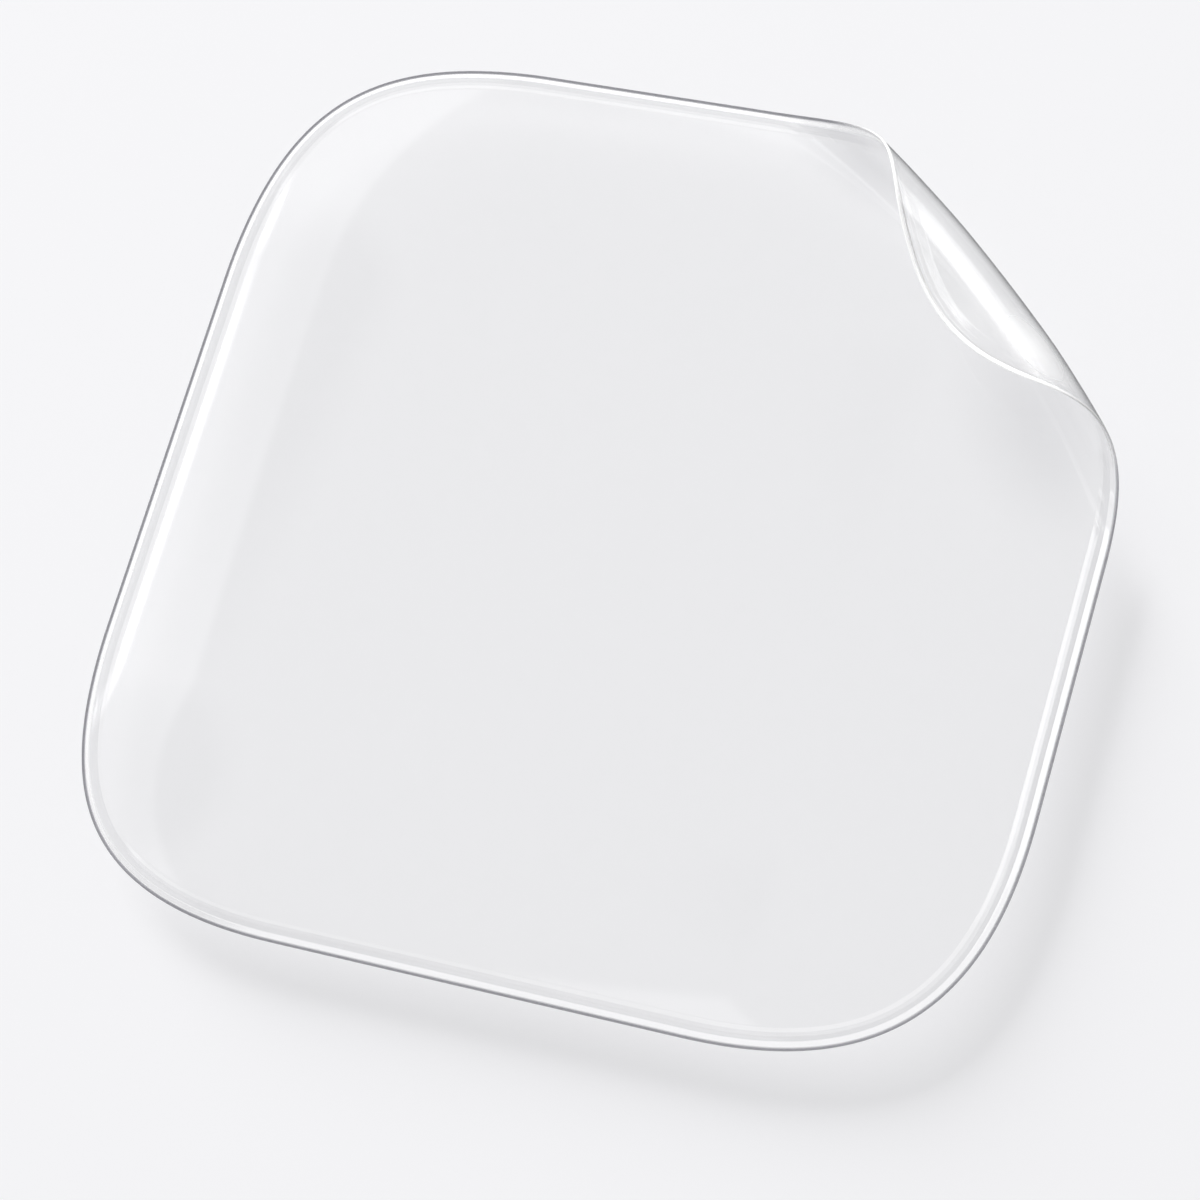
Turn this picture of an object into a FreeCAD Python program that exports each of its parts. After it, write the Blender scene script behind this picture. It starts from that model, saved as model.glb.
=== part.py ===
import FreeCAD, Part
import math
import os

# A clear film that covers a square smartwatch screen, lying on its flat middle
# with its rim set slightly upward and one corner rolled up and over.
# Millimetres and degrees. +Z is up, +X runs to the right edge and +Y to the top
# edge of the cut, and the origin is under the middle of the film.

NODE = "protector_film"

SIZES = (
    ("film_width", "36.0", "flat cut, left edge to right edge"),
    ("film_length", "34.92", "flat cut, bottom edge to top edge"),
    ("film_thickness", "0.3", "thickness inside the bevel"),
    ("corner_reach", "10.24", "distance from a sharp corner to where its curve starts"),
    ("corner_fullness", "0.704", "pull of the corner curve towards the sharp corner, 0 to 1"),
    ("bevel_width", "1.0", "width of the sloped band along the rim"),
    ("bevel_drop", "0.1", "fall of the sloped band from the inside to the rim"),
    ("rim_lift", "1.0", "height of the rim over the flat middle"),
    ("rim_band", "9.0", "width of the band in which the film rises to the rim"),
    ("roll_heading", "50.6", "direction of the rolled corner, from +X towards +Y"),
    ("roll_depth", "9.52", "distance from the sharp corner to the start of the roll"),
    ("roll_bow", "1.1", "how much earlier the roll starts at its ends"),
    ("roll_half_length", "9.0", "distance from the middle of the roll to either end"),
    ("roll_radius_middle", "1.61", "outer radius of the roll in its middle"),
    ("roll_radius_top", "2.17", "outer radius of the roll at the end by the top edge"),
    ("roll_radius_right", "1.96", "outer radius of the roll at the end by the right edge"),
    ("roll_turn", "172.0", "turn of the film around the roll"),
)

# Point spacing of the curves and surfaces
RIM_SPACING = 0.4
NOSE_STEPS = 4
GRID_STEP = 1.0
ROLL_STEP = 0.4
SLOPE_STEP = 0.001

# Both edges of a rim strip run the same way round the cut
SAME_WAY = 1

# The flat foot's share of the flat middle, and how closely it meets the skin
FOOT_SHARE = 0.75
FOOT_TOLERANCE = 0.001

doc = FreeCAD.newDocument("smartwatch_screen_protector")
sheet = doc.addObject("Spreadsheet::Sheet", "Sizes")
for row, (name, value, meaning) in enumerate(SIZES, start=1):
    sheet.set(f"A{row}", meaning)
    sheet.set(f"B{row}", value)
    sheet.setAlias(f"B{row}", name)
doc.recompute()

half_width = sheet.film_width / 2
half_length = sheet.film_length / 2
heading = math.radians(sheet.roll_heading)
heading_x = math.cos(heading)
heading_y = math.sin(heading)
roll_start = half_width * heading_x + half_length * heading_y - sheet.roll_depth
roll_radius_mean = (sheet.roll_radius_top + sheet.roll_radius_right) / 2
roll_radius_lean = (sheet.roll_radius_top - sheet.roll_radius_right) / 2
roll_turn = math.radians(sheet.roll_turn)
nose_radius = (sheet.film_thickness - sheet.bevel_drop) / 2
grid_edge = math.hypot(half_width, half_length)


def to_fold(x, y):
    """Flat point as its distance towards the rolled corner and its distance along the fold line."""
    return x * heading_x + y * heading_y, y * heading_x - x * heading_y


def from_fold(across, along):
    """Flat point from its distance towards the rolled corner and its distance along the fold line."""
    return across * heading_x - along * heading_y, across * heading_y + along * heading_x


def rise(x, y):
    """Height of the underside before the corner is rolled: flat in the middle, rising to the rim."""
    side = max(abs(x) - half_width + sheet.rim_band, 0) / sheet.rim_band
    end = max(abs(y) - half_length + sheet.rim_band, 0) / sheet.rim_band
    return sheet.rim_lift * (side**2 + end**2)


def underside(x, y):
    """Point of the finished film's underside for a point of the flat cut."""
    across, along = to_fold(x, y)
    share = max(-1.5, min(1.5, along / sheet.roll_half_length))
    fold = roll_start - sheet.roll_bow * share**2
    past = across - fold
    if past <= 0:
        return FreeCAD.Vector(x, y, rise(x, y))
    foot = from_fold(fold, along)
    behind = from_fold(fold - SLOPE_STEP, along)
    ahead = from_fold(fold + SLOPE_STEP, along)
    slope = math.atan((rise(*ahead) - rise(*behind)) / (2 * SLOPE_STEP))
    crown = roll_radius_mean - sheet.roll_radius_middle
    radius = sheet.roll_radius_middle + roll_radius_lean * share + crown * share**2
    turn = min(past / radius, roll_turn)
    flap = past - turn * radius
    angle = slope + turn
    reach = fold + radius * (math.sin(angle) - math.sin(slope)) + flap * math.cos(angle)
    height = rise(*foot) + radius * (math.cos(slope) - math.cos(angle)) + flap * math.sin(angle)
    return FreeCAD.Vector(*from_fold(reach, along), height)


def film_point(x, y, height):
    """Point of the finished film at a height over its underside, square to the film."""
    over_x = underside(x + SLOPE_STEP, y) - underside(x - SLOPE_STEP, y)
    over_y = underside(x, y + SLOPE_STEP) - underside(x, y - SLOPE_STEP)
    return underside(x, y) + over_x.cross(over_y).normalize() * height


def cut_pieces():
    """The flat cut's four edges and four corner curves, counter-clockwise, as lists of points and inward directions."""
    reach = sheet.corner_reach
    sharp = [
        (-half_width, -half_length),
        (half_width, -half_length),
        (half_width, half_length),
        (-half_width, half_length),
    ]
    ways = [(1, 0), (0, 1), (-1, 0), (0, -1)]
    lengths = [sheet.film_width, sheet.film_length] * 2
    pieces = []
    for start, way, length, next_way in zip(sharp, ways, lengths, ways[1:] + ways[:1]):
        inward = (-way[1], way[0])
        count = math.ceil((length - 2 * reach) / RIM_SPACING)
        steps = [reach + (length - 2 * reach) * i / count for i in range(count + 1)]
        pieces.append([(start[0] + way[0] * d, start[1] + way[1] * d, *inward) for d in steps])
        corner = (start[0] + way[0] * length, start[1] + way[1] * length)
        handle = reach * (1 - sheet.corner_fullness)
        poles = [
            FreeCAD.Vector(corner[0] - way[0] * reach, corner[1] - way[1] * reach),
            FreeCAD.Vector(corner[0] - way[0] * handle, corner[1] - way[1] * handle),
            FreeCAD.Vector(corner[0] + next_way[0] * handle, corner[1] + next_way[1] * handle),
            FreeCAD.Vector(corner[0] + next_way[0] * reach, corner[1] + next_way[1] * reach),
        ]
        curve = Part.BezierCurve()
        curve.setPoles(poles)
        count = math.ceil(curve.length() / RIM_SPACING)
        piece = []
        for i in range(count + 1):
            point = curve.value(i / count)
            tangent = curve.tangent(i / count)[0]
            piece.append((point.x, point.y, -tangent.y, tangent.x))
        pieces.append(piece)
    return pieces


def spline(points, marks):
    """Smooth curve through points, with a parameter mark at each."""
    curve = Part.BSplineCurve()
    curve.interpolate(Points=points, Parameters=marks)
    return curve


def spline_surface(grid, row_marks, column_marks):
    """Smooth surface through a grid of points, with parameter marks for its rows and columns."""
    rows = [spline(points, column_marks) for points in grid]
    columns = [spline(list(points), row_marks) for points in zip(*[row.getPoles() for row in rows])]
    poles = [list(points) for points in zip(*[column.getPoles() for column in columns])]
    surface = Part.BSplineSurface()
    surface.buildFromPolesMultsKnots(
        poles,
        columns[0].getMultiplicities(),
        rows[0].getMultiplicities(),
        columns[0].getKnots(),
        rows[0].getKnots(),
        False,
        False,
        columns[0].Degree,
        rows[0].Degree,
    )
    return surface


def steps_between(first, last, step):
    """Even marks from first to last, at most a step apart."""
    count = math.ceil((last - first) / step)
    return [first + (last - first) * i / count for i in range(count + 1)]


def skin(height):
    """Surface of the film at a height over its underside, over the distances across and along the fold line."""
    along_marks = steps_between(-grid_edge, grid_edge, GRID_STEP)
    roll_edge = roll_start - 3 * sheet.roll_bow
    across_marks = steps_between(-grid_edge, roll_edge, GRID_STEP)
    across_marks += steps_between(roll_edge, grid_edge, ROLL_STEP)[1:]
    grid = [[film_point(*from_fold(a, b), height) for b in along_marks] for a in across_marks]
    return spline_surface(grid, across_marks, along_marks)


def edges_on(surface, lines):
    """Edges on a skin through lists of flat points."""
    edges = []
    for points in lines:
        curve = Part.Geom2d.BSplineCurve2d()
        curve.interpolate([FreeCAD.Base.Vector2d(*to_fold(*point)) for point in points])
        edges.append(curve.toShape(surface))
    return edges


def inset_lines(pieces, inset):
    """The cut's lines moved inward by a distance."""
    return [[(x + dx * inset, y + dy * inset) for x, y, dx, dy in piece] for piece in pieces]


def rim_edges(pieces, inset, height):
    """Edges along the rim at an inset from the cut and a height over the underside."""
    edges = []
    for points in inset_lines(pieces, inset):
        marks = [0.0]
        for before, after in zip(points, points[1:]):
            marks.append(marks[-1] + math.dist(before, after))
        edges.append(spline([film_point(x, y, height) for x, y in points], marks).toShape())
    return edges


def film_solid():
    """The film as one solid: two skins, the flat middle of the underside, the bevel and the rounded rim."""
    pieces = cut_pieces()
    top = skin(sheet.film_thickness)
    bottom = skin(0)
    rows = [edges_on(top, inset_lines(pieces, sheet.bevel_width))]
    for i in range(NOSE_STEPS):
        angle = math.pi * i / NOSE_STEPS
        inset = nose_radius * (1 - math.sin(angle))
        height = nose_radius * (1 + math.cos(angle))
        rows.append(rim_edges(pieces, inset, height))
    rows.append(edges_on(bottom, inset_lines(pieces, nose_radius)))
    foot_x = (half_width - sheet.rim_band) * FOOT_SHARE
    foot_y = (half_length - sheet.rim_band) * FOOT_SHARE
    foot = [(-foot_x, -foot_y), (-foot_x, foot_y), (foot_x, foot_y), (foot_x, -foot_y)]
    foot_loop = Part.Wire(edges_on(bottom, zip(foot, foot[1:] + foot[:1])))
    bottom_face = Part.Face(Part.Wire(rows[-1]))
    bottom_face.cutHoles([foot_loop])
    foot_face = Part.Face(Part.Plane(), foot_loop)
    foot_face.fixTolerance(FOOT_TOLERANCE)
    faces = [Part.Face(Part.Wire(rows[0])), bottom_face, foot_face]
    for upper, lower in zip(rows, rows[1:]):
        faces += [Part.makeRuledSurface(a, b, SAME_WAY) for a, b in zip(upper, lower)]
    shell = Part.makeCompound(faces)
    shell.sewShape()
    solid = Part.Solid(shell.Shells[0])
    if solid.Volume < 0:
        solid.reverse()
    return solid


film = doc.addObject("Part::Feature", NODE)
film.Label = NODE
film.Shape = film_solid()
film.Placement = FreeCAD.Placement()
doc.recompute()

for item in doc.Objects:
    if "Invalid" in item.State or "Error" in item.State:
        raise RuntimeError(f"{item.Label} failed")
if film.Shape.isNull() or not film.Shape.isValid() or len(film.Shape.Solids) != 1:
    raise RuntimeError("the film is not one valid solid")

os.makedirs("parts", exist_ok=True)
film.Shape.exportStep(f"parts/{NODE}.step")
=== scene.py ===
import logging
import math
from dataclasses import dataclass, field
from enum import Enum
from typing import Any

import bpy
import numpy as np
from mathutils import Matrix, Vector


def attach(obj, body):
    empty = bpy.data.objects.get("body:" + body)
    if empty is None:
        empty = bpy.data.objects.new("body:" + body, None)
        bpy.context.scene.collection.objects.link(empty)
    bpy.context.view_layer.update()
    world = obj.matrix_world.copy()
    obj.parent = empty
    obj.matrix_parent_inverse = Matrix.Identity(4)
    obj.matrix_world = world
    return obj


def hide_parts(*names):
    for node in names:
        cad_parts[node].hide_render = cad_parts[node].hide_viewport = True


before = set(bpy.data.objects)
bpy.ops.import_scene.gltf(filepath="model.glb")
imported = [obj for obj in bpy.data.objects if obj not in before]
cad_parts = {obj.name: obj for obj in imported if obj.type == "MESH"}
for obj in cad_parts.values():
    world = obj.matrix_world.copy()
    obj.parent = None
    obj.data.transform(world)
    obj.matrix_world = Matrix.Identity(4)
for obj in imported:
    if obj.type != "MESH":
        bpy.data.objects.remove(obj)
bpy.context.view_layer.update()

LOG = logging.getLogger("screen_protector")
MM = 0.001
NODE = "protector_film"

# Millimetres to either side of a point over which its slope is taken
SLOPE_STEP = 0.001

# Layer weight setting at which the facing share changes evenly
EVEN_BLEND = 0.5

# Socket numbers of the Mix node for colours
FIRST_COLOUR = 6
SECOND_COLOUR = 7
MIXED_COLOUR = 2

# Socket numbers of the Mix node for plain values
FIRST_VALUE = 2
SECOND_VALUE = 3

# Direction of the opening in the white dome over the film
DOME_OPENING = (-0.325, 0.276, 0.904)

Tree = bpy.types.NodeTree
Socket = bpy.types.NodeSocket
Colour = tuple[float, float, float, float]
Triple = tuple[float, float, float]


class FilmMark(Enum):
    """Shares from 0 to 1 that the mesh carries at its points for the film's finish and for the shade
    and highlights painted onto it.
    """

    # Grey knife cut with a painted dark line over it, plus painted shade on the band inside the rim and
    # by the fold
    CUT = "cut_edge_and_painted_shade"
    # Painted highlight: a share of white diffuse over the chamfer, the turned-over edge and the roll
    PAINTED_HIGHLIGHT = "painted_highlight"
    EDGE_ON = "edge_on_depth"
    BEVEL = "polished_bevel"
    SHADE = "deep_shade"


def linear_colour(hex_code: str) -> Colour:
    """Turns an sRGB hex colour into linear light.

    Args:
        hex_code: Colour as "#RRGGBB".

    Returns:
        Linear red, green and blue with an alpha of 1.
    """
    channels = [int(hex_code[i : i + 2], 16) / 255 for i in (1, 3, 5)]
    red, green, blue = (c / 12.92 if c <= 0.04045 else ((c + 0.055) / 1.055) ** 2.4 for c in channels)
    return red, green, blue, 1.0


WHITE = linear_colour("#FFFFFF")


def add_node(
    tree: Tree, kind: str, settings: dict[str | int, Any], links: dict[str | int, Socket]
) -> bpy.types.Node:
    """Adds a node with its settings and incoming links.

    Args:
        tree: Node tree that gets the node.
        kind: Blender's name for the node type.
        settings: Values for attributes, or for inputs where the key is a number or starts
            with a capital.
        links: Input names or numbers with the output sockets that feed them.

    Returns:
        The new node.
    """
    node = tree.nodes.new(kind)
    for name, value in settings.items():
        if isinstance(name, int) or name[0].isupper():
            node.inputs[name].default_value = value
        else:
            setattr(node, name, value)
    for name, socket in links.items():
        tree.links.new(socket, node.inputs[name])
    return node


@dataclass(frozen=True)
class CutOutline:
    """The flat cut of the film: straight edges and soft corners, in millimetres."""

    width: float = 36.0
    length: float = 34.92
    corner_reach: float = 10.24
    corner_fullness: float = 0.704
    edge_steps: int = 48
    corner_steps: int = 72

    @property
    def sharp_corner(self) -> np.ndarray:
        """The corner at +X +Y before it is rounded."""
        return np.array((self.width, self.length)) / 2

    def points(self) -> tuple[np.ndarray, np.ndarray]:
        """Follows the cut counter-clockwise from the left end of its bottom edge.

        Returns:
            Points of the cut and the inward direction at each.
        """
        sharp = np.array([(-1, -1), (1, -1), (1, 1), (-1, 1)]) * self.sharp_corner
        ways = np.array([(1, 0), (0, 1), (-1, 0), (0, -1)])
        handle = self.corner_reach * (1 - self.corner_fullness)
        share = np.linspace(0, 1, self.edge_steps, endpoint=False)[:, None]
        spots, tangents = [], []
        for side, way in enumerate(ways):
            following = (side + 1) % len(ways)
            corner, next_way = sharp[following], ways[following]
            start = sharp[side] + way * self.corner_reach
            end = corner - way * self.corner_reach
            curve_end = corner + next_way * self.corner_reach
            poles = (end, corner - way * handle, corner + next_way * handle, curve_end)
            curve, curve_tangents = self.corner_curve(poles)
            spots += [start + (end - start) * share, curve]
            tangents += [np.tile(way.astype(float), (self.edge_steps, 1)), curve_tangents]
        along = np.concatenate(tangents)
        along /= np.linalg.norm(along, axis=1)[:, None]
        return np.concatenate(spots), np.column_stack((-along[:, 1], along[:, 0]))

    def corner_curve(self, poles: tuple[np.ndarray, ...]) -> tuple[np.ndarray, np.ndarray]:
        """Follows the curve of one corner.

        Args:
            poles: The start of the curve, its two handles and its end.

        Returns:
            Points of the curve and the way it runs at each.
        """
        share = np.linspace(0, 1, self.corner_steps, endpoint=False)[:, None]
        rest = 1 - share
        spots = (
            poles[0] * rest**3
            + 3 * poles[1] * rest**2 * share
            + 3 * poles[2] * rest * share**2
            + poles[3] * share**3
        )
        tangents = (
            (poles[1] - poles[0]) * rest**2
            + 2 * (poles[2] - poles[1]) * rest * share
            + (poles[3] - poles[2]) * share**2
        )
        return spots, tangents


@dataclass(frozen=True)
class RaisedRim:
    """The film's slight upward set towards its rim, in millimetres."""

    lift: float = 1.0
    band: float = 9.0

    def height(self, flat: np.ndarray, cut: CutOutline) -> np.ndarray:
        """Gives the height of the underside over the floor before the corner is rolled.

        Args:
            flat: Points of the flat cut.
            cut: The cut that the points belong to.

        Returns:
            One height for each point.
        """
        inner = cut.sharp_corner - self.band
        share = np.maximum(np.abs(flat) - inner, 0) / self.band
        return self.lift * np.sum(share**2, axis=1)


@dataclass(frozen=True)
class RolledCorner:
    """The corner that is rolled up and over, in millimetres and degrees."""

    heading: float = 50.6
    depth: float = 9.52
    bow: float = 1.1
    half_length: float = 9.0
    radius_middle: float = 1.61
    radius_top: float = 2.17
    radius_right: float = 1.96
    turn: float = 172.0
    end_share: float = 1.5

    @property
    def ahead(self) -> np.ndarray:
        """Direction over the flat cut towards the rolled corner."""
        heading = math.radians(self.heading)
        return np.array((math.cos(heading), math.sin(heading)))

    @property
    def aside(self) -> np.ndarray:
        """Direction over the flat cut along the fold."""
        return np.array((-self.ahead[1], self.ahead[0]))

    def fold(self, along: np.ndarray, cut: CutOutline) -> tuple[np.ndarray, np.ndarray]:
        """Gives where the roll starts, which bows back towards its ends.

        Args:
            along: Distances along the fold.
            cut: The cut that the roll belongs to.

        Returns:
            Distances ahead at which the roll starts, and the shares of its half length.
        """
        share = np.clip(along / self.half_length, -self.end_share, self.end_share)
        start = cut.sharp_corner @ self.ahead - self.depth
        return start - self.bow * share**2, share

    def radius(self, share: np.ndarray) -> np.ndarray:
        """Gives the outer radius of the roll, which is wider at its ends.

        Args:
            share: Shares of the roll's half length.

        Returns:
            One radius for each share.
        """
        mean = (self.radius_top + self.radius_right) / 2
        lean = (self.radius_top - self.radius_right) / 2
        return self.radius_middle + lean * share + (mean - self.radius_middle) * share**2

    def bend(self, flat: np.ndarray, cut: CutOutline, rim: RaisedRim) -> np.ndarray:
        """Lays flat points on the underside of the finished film.

        Args:
            flat: Points of the flat cut.
            cut: The cut that the points belong to.
            rim: The upward set that the film has before the corner is rolled.

        Returns:
            Points in space.
        """
        ahead, aside = self.ahead, self.aside
        along = flat @ aside
        fold, share = self.fold(along, cut)
        past = np.maximum(flat @ ahead - fold, 0)
        foot = np.where(past[:, None] > 0, fold[:, None] * ahead + along[:, None] * aside, flat)
        step = SLOPE_STEP * ahead
        climb = rim.height(foot + step, cut) - rim.height(foot - step, cut)
        slope = np.arctan(climb / (2 * SLOPE_STEP))
        radius = self.radius(share)
        turn = np.minimum(past / radius, math.radians(self.turn))
        flap = past - turn * radius
        angle = slope + turn
        reach = fold + radius * (np.sin(angle) - np.sin(slope)) + flap * np.cos(angle)
        rise = radius * (np.cos(slope) - np.cos(angle)) + flap * np.sin(angle)
        rolled = past > 0
        across = np.where(rolled, reach, flat @ ahead)
        height = rim.height(foot, cut) + np.where(rolled, rise, 0)
        return np.column_stack((across[:, None] * ahead + along[:, None] * aside, height))


@dataclass(frozen=True)
class RimProfile:
    """The film's thickness from its faces down to the cut, in millimetres.

    From the inside: a polished step, a narrow flat, a chamfer and the rounded cut edge.
    """

    thickness: float = 0.3
    step_inside: float = 0.76
    step_outside: float = 0.46
    step_drop: float = 0.109
    chamfer_inside: float = 0.3
    chamfer_drop: float = 0.106
    nose_width: float = 0.13
    softness: float = 0.025
    soft_samples: int = 9

    @property
    def nose_height(self) -> float:
        """Thickness where the rounded cut edge starts."""
        return self.thickness - self.step_drop - self.chamfer_drop

    def height(self, inset: float) -> float:
        """Gives the height of the top over the underside, with the corners of the profile softened.

        Args:
            inset: Distance from the cut.

        Returns:
            Height square to the film.
        """
        insets = (self.nose_width, self.chamfer_inside, self.step_outside, self.step_inside)
        low = self.thickness - self.step_drop
        heights = (self.nose_height, low, low, self.thickness)
        reach = min(self.softness, inset - self.nose_width)
        around = inset + np.linspace(-reach, reach, self.soft_samples)
        return float(np.mean(np.interp(around, insets, heights)))


@dataclass(frozen=True)
class ClearTpu:
    """Clear TPU film, cast smooth on both faces and knife-cut round its edge.

    The film is too thin to bend what lies behind it, so light goes straight through. To the eye
    it is a faint grey cast that deepens where the film is seen edge-on, a grey cut with a painted
    dark line along it, painted shade on a band inside the rim and by the ends of the fold, a
    painted white highlight on the chamfer and the turned-over edge, painted pale highlights in
    the roll, and a glassy shine on both faces that wavers a little.
    """

    tint: str = "#FDFDFD"
    edge_on_tint: str = "#404044"
    edge_on_power: float = 3.2
    # Grey of the cut, also the colour of the painted dark cut line and of the painted shade on the rim
    # band and by the fold
    cut_and_painted_shade_tint: str = "#C2C2C5"
    # White of the painted highlight
    painted_highlight: str = "#FFFFFF"
    painted_highlight_share: float = 0.8
    deep_shade_tint: str = "#E9E9E9"
    ior: float = 1.5
    edge_on_gloss: float = 0.2
    gloss_power: float = 5.0
    bevel_gloss: float = 1.8
    roughness: float = 0.02
    wave_mm: float = 6.0
    wave_height_mm: float = 0.002
    wave_detail: float = 1.0
    wave_roughness: float = 0.4

    def make(self) -> bpy.types.Material:
        """Builds the film's material.

        Returns:
            The material.
        """
        # Cast TPU is clear and smooth, so the eye finds the film by its edge lines and its shine
        material = bpy.data.materials.new("clear_cast_tpu")
        material.use_nodes = True
        tree = material.node_tree
        tree.nodes.clear()
        marks = {}
        for mark in FilmMark:
            carried = add_node(tree, "ShaderNodeAttribute", {"attribute_name": mark.value}, {})
            marks[mark] = carried.outputs["Fac"]
        ripple = self.ripple(tree)
        turned = add_node(tree, "ShaderNodeLayerWeight", {"Blend": EVEN_BLEND}, {"Normal": ripple})
        facing = turned.outputs["Facing"]
        clear = self.clear(tree, facing, marks)
        film = self.gloss(tree, facing, ripple, clear, marks[FilmMark.BEVEL])
        # Painted highlight: white diffuse mixed over the film by the highlight mark
        painted_highlight_amount = add_node(
            tree,
            "ShaderNodeMath",
            {"operation": "MULTIPLY", 1: self.painted_highlight_share},
            {0: marks[FilmMark.PAINTED_HIGHLIGHT]},
        )
        pale = add_node(tree, "ShaderNodeBsdfDiffuse", {"Color": linear_colour(self.painted_highlight)}, {})
        edged = add_node(
            tree,
            "ShaderNodeMixShader",
            {},
            {0: painted_highlight_amount.outputs[0], 1: film, 2: pale.outputs["BSDF"]},
        )
        shadow = self.shadow(tree, marks[FilmMark.SHADE])
        path = add_node(tree, "ShaderNodeLightPath", {}, {})
        whole = add_node(
            tree,
            "ShaderNodeMixShader",
            {},
            {0: path.outputs["Is Shadow Ray"], 1: edged.outputs["Shader"], 2: shadow},
        )
        add_node(tree, "ShaderNodeOutputMaterial", {}, {"Surface": whole.outputs["Shader"]})
        return material

    def ripple(self, tree: Tree) -> Socket:
        """Adds the faint waviness of casting.

        Args:
            tree: Node tree of the material.

        Returns:
            The wavy normal.
        """
        place = add_node(tree, "ShaderNodeTexCoord", {}, {})
        waves = add_node(
            tree,
            "ShaderNodeTexNoise",
            {
                "Scale": 1 / (self.wave_mm * MM),
                "Detail": self.wave_detail,
                "Roughness": self.wave_roughness,
            },
            {"Vector": place.outputs["Object"]},
        )
        bump = add_node(
            tree,
            "ShaderNodeBump",
            {"Strength": 1.0, "Distance": self.wave_height_mm * MM},
            {"Height": waves.outputs["Fac"]},
        )
        return bump.outputs["Normal"]

    def clear(self, tree: Tree, facing: Socket, marks: dict[FilmMark, Socket]) -> Socket:
        """Adds the light that goes straight through, with painted shade at the cut, on the rim band and
        by the fold, and greyer in the edge-on view.

        Args:
            tree: Node tree of the material.
            facing: How far the surface turns from the eye.
            marks: The mesh's marks.

        Returns:
            The see-through shader.
        """
        tint, cut_and_painted_shade_tint = linear_colour(self.tint), linear_colour(self.cut_and_painted_shade_tint)
        # Painted shade: this tint darkens the cut line, the rim band and the spots by the fold
        body = add_node(
            tree,
            "ShaderNodeMix",
            {"data_type": "RGBA", FIRST_COLOUR: tint, SECOND_COLOUR: cut_and_painted_shade_tint},
            {0: marks[FilmMark.CUT]},
        )
        edge_on = add_node(
            tree,
            "ShaderNodeMath",
            {"operation": "POWER", 1: self.edge_on_power},
            {0: facing},
        )
        depth = add_node(
            tree,
            "ShaderNodeMath",
            {"operation": "MULTIPLY"},
            {0: edge_on.outputs[0], 1: marks[FilmMark.EDGE_ON]},
        )
        cast = add_node(
            tree,
            "ShaderNodeMix",
            {"data_type": "RGBA", SECOND_COLOUR: linear_colour(self.edge_on_tint)},
            {0: depth.outputs[0], FIRST_COLOUR: body.outputs[MIXED_COLOUR]},
        )
        through = add_node(
            tree,
            "ShaderNodeBsdfTransparent",
            {},
            {"Color": cast.outputs[MIXED_COLOUR]},
        )
        return through.outputs["BSDF"]

    def gloss(self, tree: Tree, facing: Socket, ripple: Socket, clear: Socket, bevel: Socket) -> Socket:
        """Adds the glassy shine, which grows towards the edge-on view and is stronger on the bevel.

        Args:
            tree: Node tree of the material.
            facing: How far the surface turns from the eye.
            ripple: The wavy normal.
            clear: The see-through shader that lies under the shine.
            bevel: The mesh's mark for the bevel, which also sends light back from inside the film.

        Returns:
            The see-through shader with its shine.
        """
        shine = add_node(
            tree,
            "ShaderNodeBsdfGlossy",
            {"Color": WHITE, "Roughness": self.roughness},
            {"Normal": ripple},
        )
        grazing = add_node(
            tree,
            "ShaderNodeMath",
            {"operation": "POWER", 1: self.gloss_power},
            {0: facing},
        )
        straight_on = ((self.ior - 1) / (self.ior + 1)) ** 2
        mirror = add_node(
            tree,
            "ShaderNodeMath",
            {"operation": "MULTIPLY_ADD", 1: self.edge_on_gloss, 2: straight_on},
            {0: grazing.outputs[0]},
        )
        boost = add_node(
            tree,
            "ShaderNodeMath",
            {"operation": "MULTIPLY_ADD", 1: self.bevel_gloss, 2: 1.0},
            {0: bevel},
        )
        share = add_node(
            tree,
            "ShaderNodeMath",
            {"operation": "MULTIPLY"},
            {0: mirror.outputs[0], 1: boost.outputs[0]},
        )
        film = add_node(
            tree,
            "ShaderNodeMixShader",
            {},
            {0: share.outputs[0], 1: clear, 2: shine.outputs["BSDF"]},
        )
        return film.outputs["Shader"]

    def shadow(self, tree: Tree, shade: Socket) -> Socket:
        """Adds what the lamp's light meets: a faint shade, deeper under the far rim.

        Args:
            tree: Node tree of the material.
            shade: The mesh's mark for the shade.

        Returns:
            The see-through shader for shadows.
        """
        deep_shade = linear_colour(self.deep_shade_tint)
        blocked = add_node(
            tree,
            "ShaderNodeMix",
            {"data_type": "RGBA", FIRST_COLOUR: WHITE, SECOND_COLOUR: deep_shade},
            {0: shade},
        )
        through = add_node(
            tree,
            "ShaderNodeBsdfTransparent",
            {},
            {"Color": blocked.outputs[MIXED_COLOUR]},
        )
        return through.outputs["BSDF"]


@dataclass(frozen=True)
class SoftSpot:
    """An oval spot by the roll for painted shade and painted highlights, in millimetres past the fold
    and along it, and its strength.
    """

    past: float
    along: float
    past_reach: float
    along_reach: float
    strength: float

    def share(self, past: np.ndarray, along: np.ndarray) -> np.ndarray:
        """Gives the spot's share at flat points, which fades out to its edge.

        Args:
            past: Distances past the start of the roll.
            along: Distances along the fold.

        Returns:
            One share for each point.
        """
        past_share = (past - self.past) / self.past_reach
        along_share = (along - self.along) / self.along_reach
        inside = np.clip(1 - np.hypot(past_share, along_share), 0, 1)
        return self.strength * inside**2 * (3 - 2 * inside)


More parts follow.
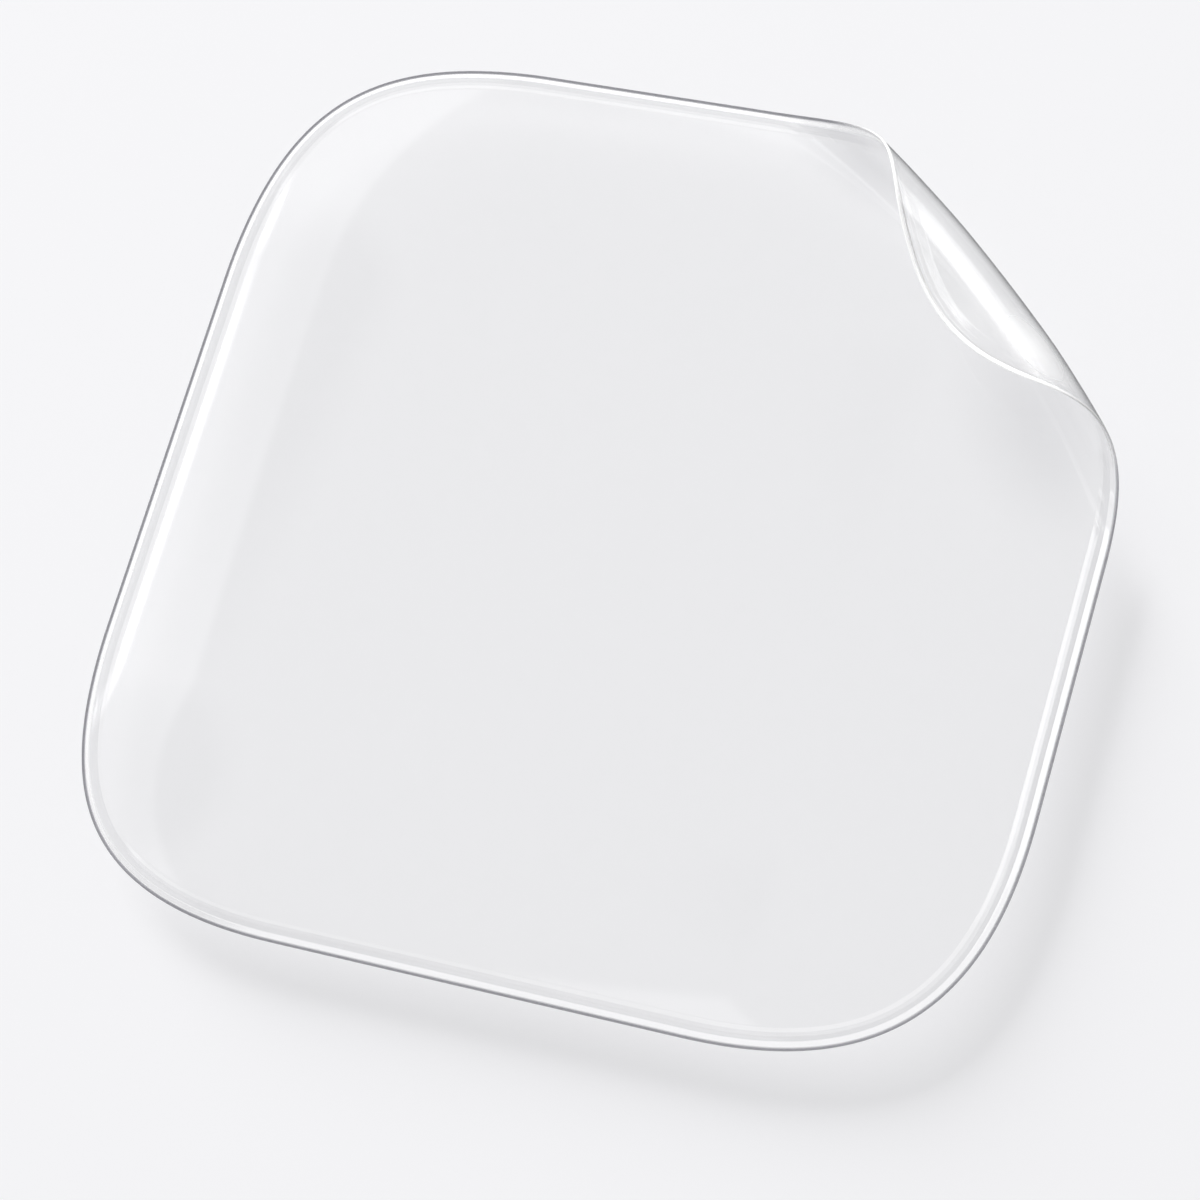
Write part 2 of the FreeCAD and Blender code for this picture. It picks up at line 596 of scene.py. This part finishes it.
@dataclass(frozen=True)
class MarkLimits:
    """Where the film's marks start and end, in millimetres, and how strong they are."""

    # Distances towards the rolled corner between which the flap's finish sets in
    flap_start: float = 16.0
    flap_end: float = 18.0
    # Painted highlight on the flap's edge and on the chamfer, and painted shade on the band inside the
    # rim, by their distance from the cut
    painted_edge_highlight_width: float = 0.2
    chamfer_width: float = 0.27
    painted_chamfer_highlight: float = 0.35
    painted_shade_band: tuple[float, float] = (0.3, 0.6)
    painted_band_shade: float = 0.2
    # Rim that faces away from the lamp
    lamp_side: tuple[float, float] = (-0.707, 0.707)
    squarely: float = 0.7
    far_rim_width: float = 1.6
    # Shade under the flat film and under the roll, and the length over which it changes
    flat_shade: float = 0.24
    roll_shade: float = 0.045
    rise_length: float = 1.0
    # Share of the edge-on cast that the flat film has
    flat_depth: float = 0.3
    # Share of the film's size over which the gathered light sets in from the rim
    rim_share: float = 0.012
    # Painted shade at the top end of the fold, and where the flap shades the film beside the right end
    painted_shade_spots: tuple[SoftSpot, ...] = (
        SoftSpot(past=1.5, along=6.5, past_reach=1.9, along_reach=4.5, strength=0.17),
        SoftSpot(past=0.6, along=-6.5, past_reach=4.0, along_reach=6.0, strength=0.11),
    )
    # Painted highlights in the right and the top end of the roll, and on the flap
    painted_highlight_spots: tuple[SoftSpot, ...] = (
        SoftSpot(past=4.3, along=-5.2, past_reach=1.3, along_reach=3.4, strength=0.6),
        SoftSpot(past=4.7, along=4.6, past_reach=1.6, along_reach=2.6, strength=0.65),
        SoftSpot(past=6.5, along=0.5, past_reach=3.0, along_reach=6.0, strength=0.2),
    )

    def flap_share(self, ahead: np.ndarray) -> np.ndarray:
        """Gives 0 on the flat film and 1 on the flap, by the distance towards the rolled corner."""
        return np.clip((ahead - self.flap_start) / (self.flap_end - self.flap_start), 0, 1)


@dataclass(frozen=True)
class FilmRows:
    """What the points of a ring have in common, with one row for each ring of the film.

    Attributes:
        spread: Size of the ring as a share of the whole.
        inset: Distance from the cut on the top of the rim, and the rim's width elsewhere.
        on_nose: Whether the ring lies on the rounded cut edge.
        below: Whether the ring lies on the lower side.
    """

    spread: np.ndarray
    inset: np.ndarray
    on_nose: np.ndarray
    below: np.ndarray


@dataclass
class ProtectorFilm:
    """The film itself: one closed skin from its top, over the rim, to its underside."""

    cut: CutOutline = field(default_factory=CutOutline)
    rim: RaisedRim = field(default_factory=RaisedRim)
    corner: RolledCorner = field(default_factory=RolledCorner)
    profile: RimProfile = field(default_factory=RimProfile)
    limits: MarkLimits = field(default_factory=MarkLimits)
    finish: ClearTpu = field(default_factory=ClearTpu)
    rim_width: float = 0.85
    rim_rows: int = 40
    nose_rows: int = 9
    first_share: float = 0.04
    fine_share: float = 0.62
    fine_rows: int = 56
    middle_rows: int = 10

    def surface(self, flat: np.ndarray, height: float) -> np.ndarray:
        """Lays flat points on the finished film at a height over its underside.

        Args:
            flat: Points of the flat cut, in millimetres.
            height: Distance from the underside, square to the film.

        Returns:
            Points in space, in millimetres.
        """
        base = self.corner.bend(flat, self.cut, self.rim)
        over = []
        for step in ((SLOPE_STEP, 0), (0, SLOPE_STEP)):
            after = self.corner.bend(flat + step, self.cut, self.rim)
            before = self.corner.bend(flat - step, self.cut, self.rim)
            over.append(after - before)
        normal = np.cross(*over)
        normal /= np.linalg.norm(normal, axis=1)[:, None]
        return base + normal * height

    def shares(self) -> np.ndarray:
        """Sizes of the rings inside the rim, as shares of the whole."""
        middle = np.linspace(self.first_share, self.fine_share, self.middle_rows, endpoint=False)
        return np.append(middle, np.linspace(self.fine_share, 1, self.fine_rows, endpoint=False))

    def rim_insets(self) -> np.ndarray:
        """Distances of the rim's rings from the cut, in millimetres."""
        return np.linspace(self.rim_width, self.profile.nose_width, self.rim_rows, endpoint=False)

    def rings(self) -> list[np.ndarray]:
        """Rings of points from the middle of the top, over the rim, to the middle of the underside.

        Returns:
            One array of points for each ring, in millimetres.
        """
        spots, inward = self.cut.points()
        width, height = self.profile.nose_width, self.profile.nose_height / 2
        shares = self.shares()
        top_edge = spots + inward * self.rim_width
        bottom_edge = spots + inward * width
        rings = [self.surface(top_edge * share, self.profile.thickness) for share in shares]
        for inset in self.rim_insets():
            rings.append(self.surface(spots + inward * inset, self.profile.height(inset)))
        for angle in np.linspace(0, math.pi, self.nose_rows):
            inset = width * (1 - math.sin(angle))
            rings.append(self.surface(spots + inward * inset, height * (1 + math.cos(angle))))
        return rings + [self.surface(bottom_edge * share, 0) for share in shares[::-1]]

    def rows(self) -> FilmRows:
        """Tells the rings apart by their place on the film.

        Returns:
            What the points of each ring have in common.
        """
        shares = self.shares()
        rim_start = len(shares)
        nose_start = rim_start + self.rim_rows
        nose_end = nose_start + self.nose_rows - 1
        edge = np.ones(self.rim_rows + self.nose_rows)
        spread = np.concatenate((shares, edge, shares[::-1]))[:, None]
        inset = np.full_like(spread, self.rim_width)
        inset[rim_start:nose_start, 0] = self.rim_insets()
        row = np.arange(len(spread))[:, None]
        on_nose = (row > nose_start) & (row < nose_end)
        return FilmRows(spread, inset, on_nose, row > (nose_start + nose_end) / 2)

    def marks(self) -> dict[FilmMark, np.ndarray]:
        """Marks the parts of the film that its finish treats in their own way.

        Returns:
            For each mark, a share from 0 to 1 at every point of the mesh.
        """
        limits, profile, rows = self.limits, self.profile, self.rows()
        spread, inset, on_nose = rows.spread, rows.inset, rows.on_nose
        spots, inward = self.cut.points()
        ahead = spots @ self.corner.ahead
        along = spread * (spots @ self.corner.aside)
        past = spread * ahead - self.corner.fold(along, self.cut)[0]
        flap = limits.flap_share(ahead)
        rolled = limits.flap_share(spread * ahead)
        raised = np.clip(past / limits.rise_length, 0, 1)

        # Lines along the rim: the cut with its painted dark line, painted shade on the band, and
        # painted highlights on the turned edge and the chamfer
        far = np.clip(inward @ limits.lamp_side / limits.squarely, 0, 1)
        on_band = (inset > limits.painted_shade_band[0]) & (inset < limits.painted_shade_band[1])
        on_slope = (inset < profile.chamfer_inside) | (inset > profile.step_outside)
        on_slope &= inset < profile.step_inside
        cut_line_and_painted_band_shade = (on_nose + limits.painted_band_shade * on_band) * (1 - flap)
        painted_turned_edge = (on_nose | (inset < limits.painted_edge_highlight_width)) * flap
        chamfer = (inset < limits.chamfer_width) * (1 - far) * (1 - flap)

        # Painted shade and painted highlight spots by the roll
        grey = sum(spot.share(past, along) for spot in limits.painted_shade_spots) * ~on_nose
        painted_roll_highlight = sum(spot.share(past, along) for spot in limits.painted_highlight_spots)
        painted_roll_highlight = painted_roll_highlight * np.clip((1 - spread) / limits.rim_share, 0, 1) * rows.below

        # Shade on the floor
        depth = (1 - spread) * np.linalg.norm(spots, axis=1)
        far_rim = far * np.clip(1 - depth / limits.far_rim_width, 0, 1) * (1 - raised)
        shade = limits.flat_shade + (limits.roll_shade - limits.flat_shade) * raised

        marks = {
            # Painted shade: dark cut line, rim band and spots by the fold
            FilmMark.CUT: cut_line_and_painted_band_shade + grey,
            # Painted highlight on the turned edge, the chamfer and in the roll
            FilmMark.PAINTED_HIGHLIGHT: np.maximum.reduce((painted_turned_edge, limits.painted_chamfer_highlight * chamfer, painted_roll_highlight)),
            FilmMark.EDGE_ON: rows.below * (limits.flat_depth + (1 - limits.flat_depth) * rolled),
            FilmMark.BEVEL: on_slope * (1 - flap),
            FilmMark.SHADE: shade + (1 - shade) * far_rim,
        }
        for mark, share in marks.items():
            middles = (share[0, 0], share[-1, 0])
            marks[mark] = np.append(share.ravel(), middles)
        return marks

    @staticmethod
    def faces(ring_count: int, ring_length: int) -> list[tuple[int, ...]]:
        """Joins the rings to each other and to the two middle points that follow them.

        Args:
            ring_count: Number of rings.
            ring_length: Number of points in each ring.

        Returns:
            The numbers of each face's points.
        """
        faces: list[tuple[int, ...]] = []
        following = [*range(1, ring_length), 0]
        last = (ring_count - 1) * ring_length
        top, bottom = last + ring_length, last + ring_length + 1
        for start in range(0, last, ring_length):
            after = start + ring_length
            for i, j in enumerate(following):
                faces.append((start + i, after + i, after + j, start + j))
        for i, j in enumerate(following):
            faces.append((top, i, j))
            faces.append((bottom, last + j, last + i))
        return faces

    def build(self) -> bpy.types.Object:
        """Makes the film's mesh, dresses it and binds it to the frame.

        Returns:
            The film as one object.
        """
        rings = self.rings()
        middle = np.zeros((1, 2))
        middles = [self.surface(middle, self.profile.thickness), self.surface(middle, 0)]
        points = np.concatenate(rings + middles) * MM
        mesh = bpy.data.meshes.new("clear_film")
        mesh.from_pydata(points.tolist(), [], self.faces(len(rings), len(rings[0])))
        mesh.shade_smooth()
        mesh.materials.append(self.finish.make())
        for mark, share in self.marks().items():
            mesh.attributes.new(mark.value, "FLOAT", "POINT").data.foreach_set("value", share)
        piece = bpy.data.objects.new("clear_film", mesh)
        bpy.context.scene.collection.objects.link(piece)
        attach(piece, "root")
        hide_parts(NODE)
        return piece


@dataclass(frozen=True)
class PhotoCamera:
    """Camera at the photograph's viewing angle, in millimetres."""

    eye: Triple = (49.449, -44.132, 137.508)
    forward: Triple = (-0.32543, 0.27573, -0.90447)
    up: Triple = (-0.18309, 0.92006, 0.34636)
    lens: float = 125.57
    sensor: float = 36.0
    clip_start: float = 10.0
    clip_end: float = 10000.0

    def place(self) -> bpy.types.Object:
        """Makes the camera and gives it to the scene.

        Returns:
            The camera.
        """
        data = bpy.data.cameras.new("photo_camera")
        data.lens = self.lens
        data.sensor_width = self.sensor
        data.clip_start = self.clip_start * MM
        data.clip_end = self.clip_end * MM
        back = -Vector(self.forward).normalized()
        right = Vector(self.up).cross(back).normalized()
        up = back.cross(right)
        turn = Matrix((right, up, back)).transposed().to_4x4()
        camera = bpy.data.objects.new("photo_camera", data)
        camera.matrix_world = Matrix.Translation(Vector(self.eye) * MM) @ turn
        bpy.context.scene.collection.objects.link(camera)
        bpy.context.scene.camera = camera
        return camera


@dataclass(frozen=True)
class SoftBox:
    """A soft studio lamp that faces the film from the upper left, in metres."""

    towards: Triple = (-0.67, 0.67, 0.31)
    distance: float = 3.0
    size: float = 1.25
    radiance: float = 42.8

    def place(self) -> bpy.types.Object:
        """Makes the lamp and hangs it facing the middle of the film.

        Returns:
            The lamp.
        """
        data = bpy.data.lights.new("soft_box", "AREA")
        data.shape = "SQUARE"
        data.size = self.size
        data.energy = self.radiance * math.pi * self.size**2
        lamp = bpy.data.objects.new("soft_box", data)
        away = Vector(self.towards).normalized()
        lamp.location = away * self.distance
        lamp.rotation_euler = away.to_track_quat("Z", "Y").to_euler()
        lamp.visible_camera = False
        lamp.visible_glossy = False
        bpy.context.scene.collection.objects.link(lamp)
        return lamp


@dataclass(frozen=True)
class WallPanel:
    """A round soft-edged part of the studio walls, brighter or darker than the rest, in degrees."""

    towards: Triple
    inner_angle: float
    outer_angle: float
    radiance: float

    def light(self, tree: Tree, direction: Socket) -> Socket:
        """Adds the panel's light.

        Args:
            tree: Node tree of the world.
            direction: The direction looked at.

        Returns:
            The panel's brightness in that direction.
        """
        near = add_node(
            tree,
            "ShaderNodeVectorMath",
            {"operation": "DOT_PRODUCT", 1: Vector(self.towards).normalized()},
            {0: direction},
        )
        bright = add_node(
            tree,
            "ShaderNodeMapRange",
            {
                "interpolation_type": "SMOOTHSTEP",
                "From Min": math.cos(math.radians(self.outer_angle)),
                "From Max": math.cos(math.radians(self.inner_angle)),
                "To Max": self.radiance,
            },
            {"Value": near.outputs["Value"]},
        )
        return bright.outputs[0]


@dataclass(frozen=True)
class StripLamp:
    """A long narrow lamp on the studio walls, with its half sizes as shares of its distance."""

    towards: Triple
    along: Triple
    half_width: float
    half_length: float
    softness: float
    radiance: float

    def light(self, tree: Tree, direction: Socket) -> Socket:
        """Adds the strip lamp's light.

        Args:
            tree: Node tree of the world.
            direction: The direction looked at.

        Returns:
            The strip lamp's brightness in that direction.
        """
        towards = Vector(self.towards).normalized()
        across = towards.cross(Vector(self.along)).normalized()
        shares = []
        for axis, half in ((across, self.half_width), (across.cross(towards), self.half_length)):
            off = add_node(
                tree,
                "ShaderNodeVectorMath",
                {"operation": "DOT_PRODUCT", 1: axis},
                {0: direction},
            )
            distance = add_node(
                tree,
                "ShaderNodeMath",
                {"operation": "ABSOLUTE"},
                {0: off.outputs["Value"]},
            )
            share = add_node(
                tree,
                "ShaderNodeMapRange",
                {
                    "interpolation_type": "SMOOTHSTEP",
                    "From Min": half * (1 + self.softness),
                    "From Max": half * (1 - self.softness),
                },
                {"Value": distance.outputs[0]},
            )
            shares.append(share.outputs[0])
        inside = add_node(
            tree,
            "ShaderNodeMath",
            {"operation": "MULTIPLY"},
            {0: shares[0], 1: shares[1]},
        )
        bright = add_node(
            tree,
            "ShaderNodeMath",
            {"operation": "MULTIPLY", 1: self.radiance},
            {0: inside.outputs[0]},
        )
        return bright.outputs[0]


@dataclass(frozen=True)
class Surroundings:
    """White studio walls that light the floor evenly, with panels that show in the film's gloss."""

    strength: float = 0.3
    gloss_strength: float = 0.9
    least_gloss: float = 0.3
    panels: tuple[WallPanel, ...] = (
        # White dome over the film, and the opening in it that the flat of the film mirrors
        WallPanel(towards=DOME_OPENING, inner_angle=60.0, outer_angle=72.0, radiance=0.9),
        WallPanel(towards=DOME_OPENING, inner_angle=25.0, outer_angle=29.0, radiance=-0.45),
        # Dark flag that keeps the start of the fold grey
        WallPanel(towards=(-0.857, -0.36, 0.35), inner_angle=33.5, outer_angle=36.8, radiance=-1.2),
        # Darker inside of the opening, which leaves a pale crescent at the upper left of the film
        WallPanel(towards=(-0.45, 0.27, 0.851), inner_angle=16.6, outer_angle=17.6, radiance=-0.65),
        WallPanel(towards=(-0.10, 0.40, 0.911), inner_angle=3.0, outer_angle=12.5, radiance=-0.65),
        # Dark flag that keeps the top rim from glowing
        WallPanel(towards=(-0.38, -0.13, 0.92), inner_angle=6.0, outer_angle=11.0, radiance=-0.35),
        # Two round lamps that the roll mirrors as a white band
        WallPanel(towards=(0.10, 0.72, 0.687), inner_angle=13.0, outer_angle=19.0, radiance=2.9),
        WallPanel(towards=(0.18, 0.89, 0.42), inner_angle=6.0, outer_angle=10.0, radiance=2.9),
        # Round lamp that the step along the right edge mirrors
        WallPanel(towards=(0.24, 0.28, 0.93), inner_angle=11.0, outer_angle=13.0, radiance=1.2),
    )
    # Strip lamp that the left rim mirrors as a white line
    strip: StripLamp = StripLamp(
        towards=(-0.056, 0.26, 0.964),
        along=(0.0, 1.0, 0.0),
        half_width=0.007,
        half_length=0.065,
        softness=0.5,
        radiance=3.4,
    )

    def build(self) -> bpy.types.World:
        """Makes the world and gives it to the scene.

        Returns:
            The world.
        """
        world = bpy.data.worlds.new("studio_walls")
        world.use_nodes = True
        tree = world.node_tree
        tree.nodes.clear()
        place = add_node(tree, "ShaderNodeTexCoord", {}, {})
        direction = place.outputs["Generated"]
        total = add_node(
            tree,
            "ShaderNodeMath",
            {"operation": "ADD", 1: self.gloss_strength},
            {0: self.strip.light(tree, direction)},
        )
        for panel in self.panels:
            total = add_node(
                tree,
                "ShaderNodeMath",
                {"operation": "ADD"},
                {0: total.outputs[0], 1: panel.light(tree, direction)},
            )
        gloss = add_node(
            tree,
            "ShaderNodeMath",
            {"operation": "MAXIMUM", 1: self.least_gloss},
            {0: total.outputs[0]},
        )
        path = add_node(tree, "ShaderNodeLightPath", {}, {})
        level = add_node(
            tree,
            "ShaderNodeMix",
            {"data_type": "FLOAT", FIRST_VALUE: self.strength},
            {0: path.outputs["Is Glossy Ray"], SECOND_VALUE: gloss.outputs[0]},
        )
        sky = add_node(tree, "ShaderNodeBackground", {"Color": WHITE}, {"Strength": level.outputs[0]})
        add_node(tree, "ShaderNodeOutputWorld", {}, {"Surface": sky.outputs["Background"]})
        bpy.context.scene.world = world
        return world


@dataclass(frozen=True)
class MattPaper:
    """Matt white paper, which to the eye is a pale even floor with soft shadows and no shine."""

    colour: str = "#F5F5F7"
    roughness: float = 1.0
    specular: float = 0.0

    def make(self) -> bpy.types.Material:
        """Builds the floor's material.

        Returns:
            The material.
        """
        material = bpy.data.materials.new("matt_paper_floor")
        material.use_nodes = True
        inputs = material.node_tree.nodes["Principled BSDF"].inputs
        inputs["Base Color"].default_value = linear_colour(self.colour)
        inputs["Roughness"].default_value = self.roughness
        inputs["Specular IOR Level"].default_value = self.specular
        return material


@dataclass(frozen=True)
class Studio:
    """Pale floor, a soft lamp and white surroundings, in metres."""

    floor_finish: MattPaper = MattPaper()
    floor_size: float = 4.0
    floor_gap: float = 0.00002
    lamp: SoftBox = SoftBox()
    surroundings: Surroundings = Surroundings()

    def build(self) -> bpy.types.Object:
        """Makes the floor, the surroundings and the lamp.

        Returns:
            The floor.
        """
        half, drop = self.floor_size / 2, -self.floor_gap
        mesh = bpy.data.meshes.new("floor")
        corners = [(-half, -half, drop), (half, -half, drop), (half, half, drop), (-half, half, drop)]
        mesh.from_pydata(corners, [], [(0, 1, 2, 3)])
        mesh.materials.append(self.floor_finish.make())
        floor = bpy.data.objects.new("floor", mesh)
        bpy.context.scene.collection.objects.link(floor)
        self.surroundings.build()
        self.lamp.place()
        return floor


def main() -> None:
    """Builds the camera, the studio and the film, and logs the film's number of points."""
    logging.basicConfig(level=logging.INFO)
    bpy.context.scene.view_settings.view_transform = "Standard"
    PhotoCamera().place()
    Studio().build()
    piece = ProtectorFilm().build()
    LOG.info("piece %s with %d points", piece.name, len(piece.data.vertices))
    bpy.context.view_layer.update()


if __name__ == "__main__":
    main()
